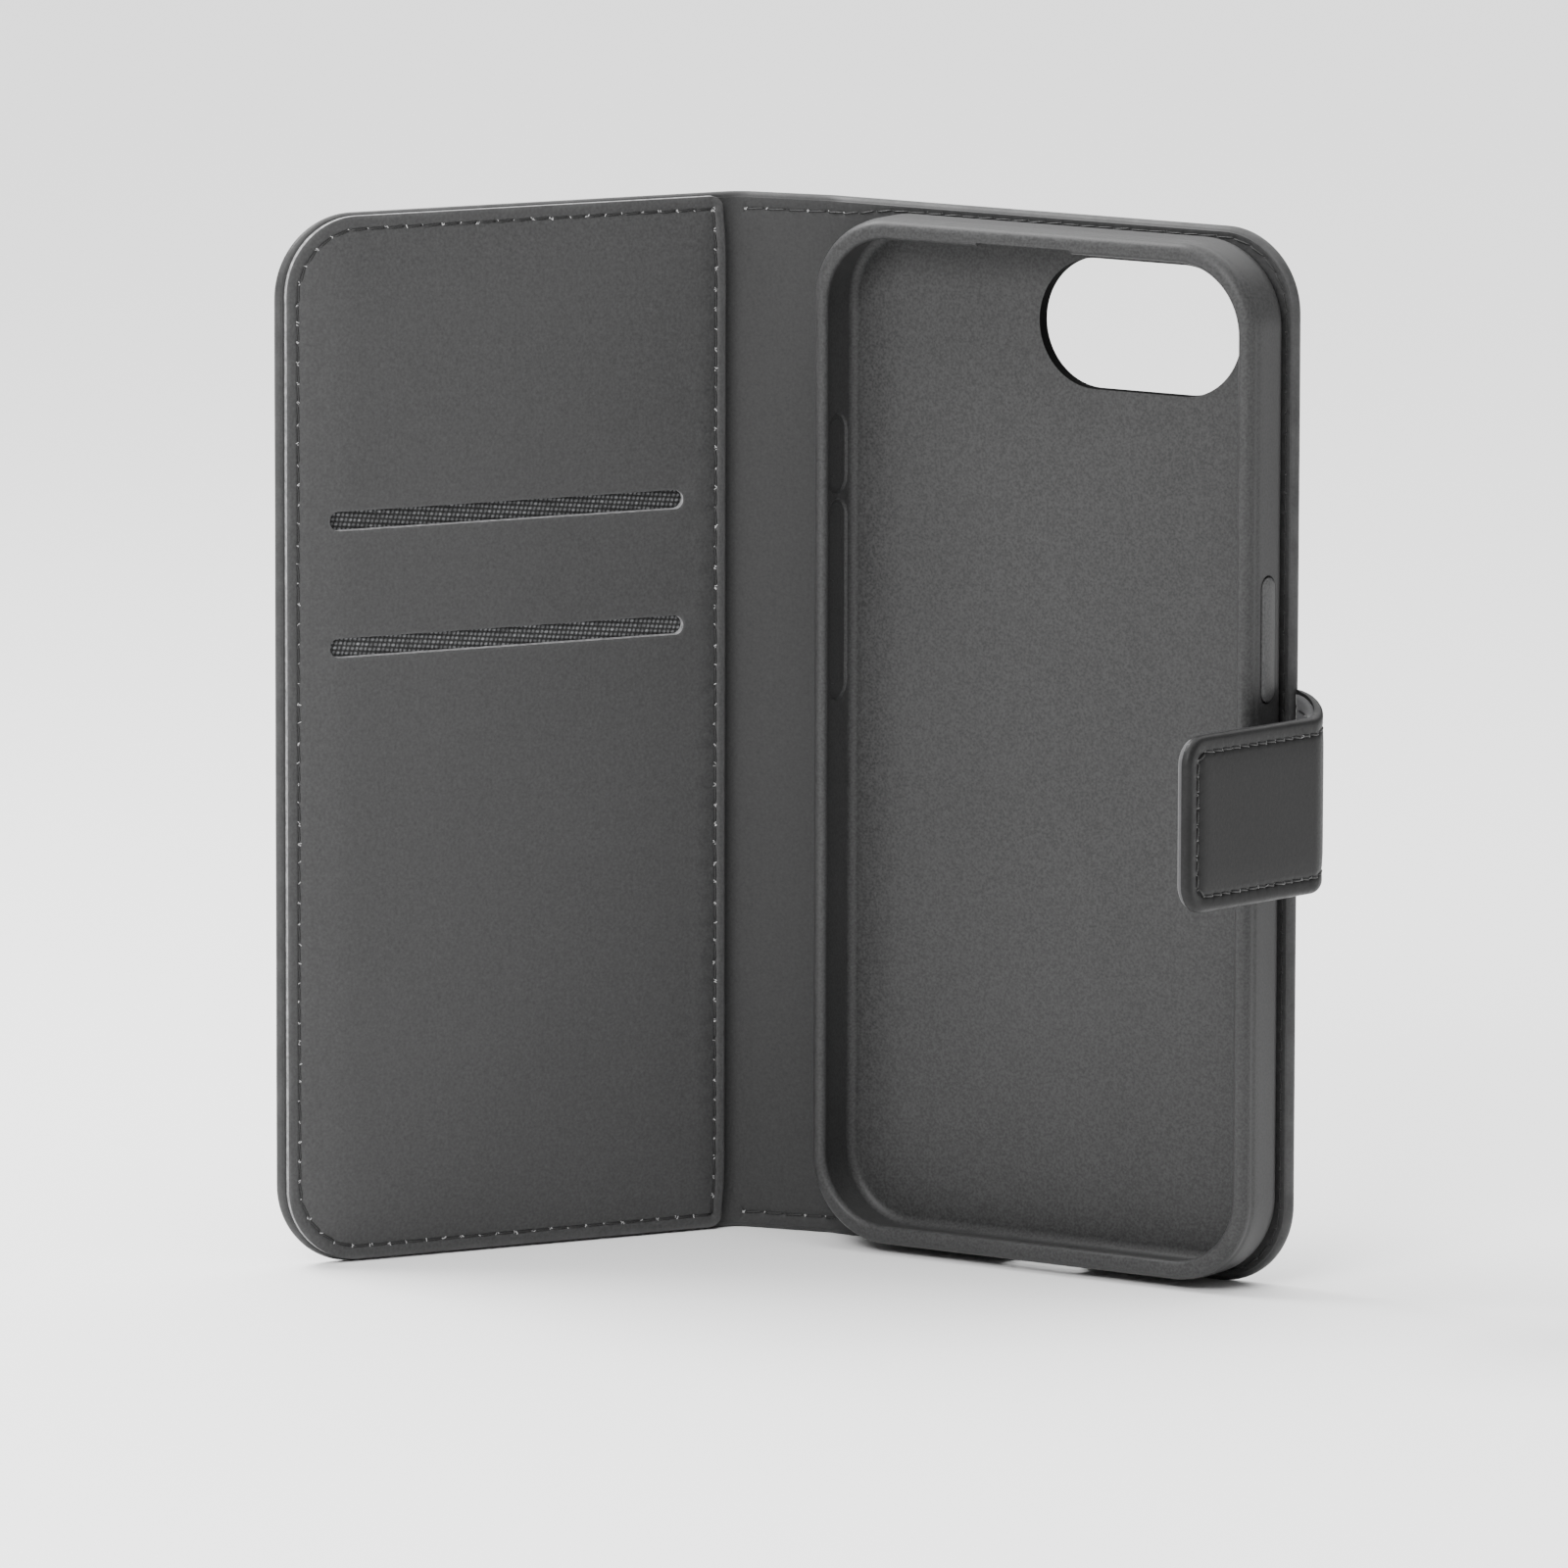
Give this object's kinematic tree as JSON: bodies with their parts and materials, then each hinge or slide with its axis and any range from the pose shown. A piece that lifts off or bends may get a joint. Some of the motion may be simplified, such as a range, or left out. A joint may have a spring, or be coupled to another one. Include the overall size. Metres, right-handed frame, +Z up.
{
  "type": "phone wallet case",
  "caption": "Folding leather phone case with a moulded shell, a card panel over a cash pocket and a magnetic strap, standing open.",
  "frame": {"origin": "middle of the open case's footprint, on the plane it stands on", "axes": "+Z up along the spine, +Y out of the back cover's outer face, +X from the spine fold to the strap"},
  "size_m": [0.1396, 0.0688, 0.1535],
  "materials": {
    "outer_leather": "matte",
    "inner_leather": "matte",
    "strap_leather": "matte",
    "strap_lining": "matte",
    "board": "matte",
    "adhesive": "matte",
    "shell": "satin",
    "button": "satin",
    "pocket_cloth": "matte",
    "thread": "matte",
    "magnet": "satin"
  },
  "bodies": {
    "back_cover": {"back_cover_outer_skin": "outer_leather", "back_cover_board": "board", "back_cover_lining": "inner_leather", "back_cover_thread": "thread", "shell_adhesive_pad": "adhesive", "phone_shell": "shell", "strap_anchor": "strap_leather"},
    "spine": {"spine_outer_skin": "outer_leather", "spine_board": "board", "spine_lining": "inner_leather", "spine_upper_thread": "thread", "spine_lower_thread": "thread"},
    "front_cover": {"front_cover_outer_skin": "outer_leather", "front_cover_board": "board", "front_cover_magnet": "magnet", "front_cover_lining": "inner_leather", "upper_card_pocket_fabric": "pocket_cloth", "lower_card_pocket_fabric": "pocket_cloth", "card_panel": "inner_leather", "front_cover_thread": "thread", "card_panel_edge_thread": "thread"},
    "strap_side": {"strap_side_outer_skin": "strap_leather", "strap_side_lining": "strap_lining", "strap_side_upper_thread": "thread", "strap_side_lower_thread": "thread"},
    "strap_flap": {"strap_flap_outer_skin": "strap_leather", "strap_flap_lining": "strap_lining", "strap_magnet": "magnet", "strap_flap_thread": "thread"},
    "action_button": {"action_button_pad": "button"},
    "volume_up_button": {"volume_up_pad": "button"},
    "volume_down_button": {"volume_down_pad": "button"},
    "power_button": {"power_button_pad": "button"}
  },
  "joints": [
    {"name": "spine_fold", "type": "hinge", "parent": "back_cover", "child": "spine", "pos_m": [-0.0159, 0.03444, 0], "axis": [0, 0, 1], "range_deg": [-102, 78]},
    {"name": "cover_fold", "type": "hinge", "parent": "spine", "child": "front_cover", "pos_m": [-0.03204, 0.03101, 0], "axis": [0, 0, 1], "range_deg": [-137.4, 42.6]},
    {"name": "strap_root_bend", "type": "hinge", "parent": "back_cover", "child": "strap_side", "pos_m": [0.06729, 0.03176, 0.07316], "axis": [0, 0, 1], "range_deg": [0, 110]},
    {"name": "strap_tip_bend", "type": "hinge", "parent": "strap_side", "child": "strap_flap", "pos_m": [0.06665, 0.01684, 0.07223], "axis": [0, 0, 1], "range_deg": [-90, 0]},
    {"name": "action_button_press", "type": "slide", "parent": "back_cover", "child": "action_button", "axis": [1, 0, 0], "range_m": [0, 0.00035], "stiffness_N_per_m": 4000},
    {"name": "volume_up_press", "type": "slide", "parent": "back_cover", "child": "volume_up_button", "axis": [1, 0, 0], "range_m": [0, 0.00035], "stiffness_N_per_m": 4000},
    {"name": "volume_down_press", "type": "slide", "parent": "back_cover", "child": "volume_down_button", "axis": [1, 0, 0], "range_m": [0, 0.00035], "stiffness_N_per_m": 4000},
    {"name": "power_button_press", "type": "slide", "parent": "back_cover", "child": "power_button", "axis": [-1, 0, 0], "range_m": [0, 0.00035], "stiffness_N_per_m": 4000}
  ]
}
